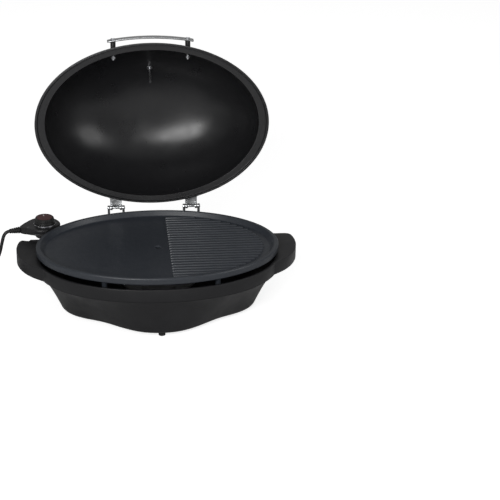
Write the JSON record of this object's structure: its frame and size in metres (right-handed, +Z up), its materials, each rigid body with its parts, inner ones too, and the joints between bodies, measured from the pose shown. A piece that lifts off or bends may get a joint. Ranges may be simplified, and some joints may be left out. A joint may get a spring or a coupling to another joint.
{
  "type": "electric indoor grill with lid",
  "caption": "Oval electric table grill: deep black base with side handles, lift-out griddle and ridged plate, plug-in heat control on a mains lead, hinged domed lid with thermometer.",
  "frame": {"origin": "on the table under the middle of the cooking plate, between the four feet", "axes": "+X to the right along the plate's length, +Y to the back where the hinges are, +Z up"},
  "size_m": [0.7673, 0.5284, 0.4916],
  "materials": {
    "base_plastic": "fine moulded satin black",
    "foot_rubber": "matt",
    "zinc_steel": "bright zinc plate",
    "shield_sheet": "dark mill finish",
    "hinge_steel": "stamped sheet, bright",
    "tray_sheet": "pressed, satin",
    "nonstick_coating": "cast aluminium under a dark nonstick coating, fine speckle",
    "heater_tube": "heat-dulled",
    "socket_plastic": "satin",
    "control_plastic": "semi-gloss black",
    "switch_ceramic": "matt",
    "probe_steel": "satin",
    "contact_brass": "satin",
    "ring_silver": "satin",
    "lamp_clear": "clear lens",
    "cord_rubber": "satin black",
    "knob_plastic": "semi-gloss black",
    "knob_red": "dull red print on black",
    "lid_enamel": "pressed aluminium under satin black enamel",
    "handle_steel": "brushed along its length",
    "post_plastic": "satin",
    "bezel_chrome": "polished",
    "dial_black": "black face with white marks",
    "lens_glass": "clear",
    "needle_red": "red paint"
  },
  "bodies": {
    "base": {"base_bowl": "base_plastic", "base_band": "base_plastic", "foot_front": "foot_rubber", "foot_back": "foot_rubber", "foot_left": "foot_rubber", "foot_right": "foot_rubber", "foot_screws": "zinc_steel", "heat_shield": "shield_sheet", "hinge_mount_left": "hinge_steel", "hinge_mount_right": "hinge_steel", "hinge_pin_left": "hinge_steel", "hinge_pin_right": "hinge_steel", "mount_rivets": "zinc_steel"},
    "tray": {"drip_tray": "tray_sheet"},
    "plate": {"grill_plate": "nonstick_coating", "heating_element": "heater_tube", "probe_socket": "socket_plastic", "terminal_pins": "zinc_steel", "socket_screws": "zinc_steel"},
    "control": {"control_base": "control_plastic", "control_cover": "control_plastic", "control_screws": "zinc_steel", "thermostat_switch": "switch_ceramic", "probe_rod": "probe_steel", "contact_sleeves": "contact_brass", "dial_ring": "ring_silver", "lamp_lens": "lamp_clear", "strain_relief": "cord_rubber", "cord": "cord_rubber", "cord_coil": "cord_rubber", "plug_body": "cord_rubber", "plug_blade_left": "contact_brass", "plug_blade_right": "contact_brass", "plug_ground_pin": "contact_brass"},
    "knob": {"knob": "knob_plastic", "knob_cap": "knob_red"},
    "hinge_leaves": {"hinge_leaf_left": "hinge_steel", "hinge_leaf_right": "hinge_steel"},
    "lid": {"lid_shell": "lid_enamel", "lid_crown": "lid_enamel", "lid_handle_strap": "handle_steel", "handle_posts": "post_plastic", "handle_screws": "zinc_steel", "handle_nuts": "zinc_steel", "hinge_socket_left": "hinge_steel", "hinge_socket_right": "hinge_steel", "socket_rivets": "zinc_steel", "gauge_bezel": "bezel_chrome", "gauge_dial": "dial_black", "gauge_lens": "lens_glass", "gauge_stem": "probe_steel", "gauge_nut": "zinc_steel"},
    "needle": {"gauge_needle": "needle_red"}
  },
  "joints": [
    {"name": "plate_lift", "type": "slide", "parent": "base", "child": "plate", "axis": [0, 0, 1], "range_m": [0, 0.09]},
    {"name": "tray_lift", "type": "slide", "parent": "base", "child": "tray", "axis": [0, 0, 1], "range_m": [0, 0.045]},
    {"name": "control_pull", "type": "slide", "parent": "plate", "child": "control", "axis": [-0.9703, -0.2419, 0], "range_m": [0, 0.03]},
    {"name": "knob_turn", "type": "hinge", "parent": "control", "child": "knob", "pos_m": [-0.22932, 0.108, 0.15], "axis": [0, 0, 1], "range_deg": [-270, 0]},
    {"name": "lid_hinge", "type": "hinge", "parent": "base", "child": "hinge_leaves", "pos_m": [0, 0.181, 0.14], "axis": [-1, 0, 0], "range_deg": [-95, 0]},
    {"name": "lid_lift", "type": "slide", "parent": "hinge_leaves", "child": "lid", "axis": [0, 0.0872, 0.9962], "range_m": [0, 0.06]},
    {"name": "needle_turn", "type": "hinge", "parent": "lid", "child": "needle", "pos_m": [0, 0.33078, 0.40989], "axis": [0, 0.8594, 0.5112], "range_deg": [-270, 0]}
  ]
}
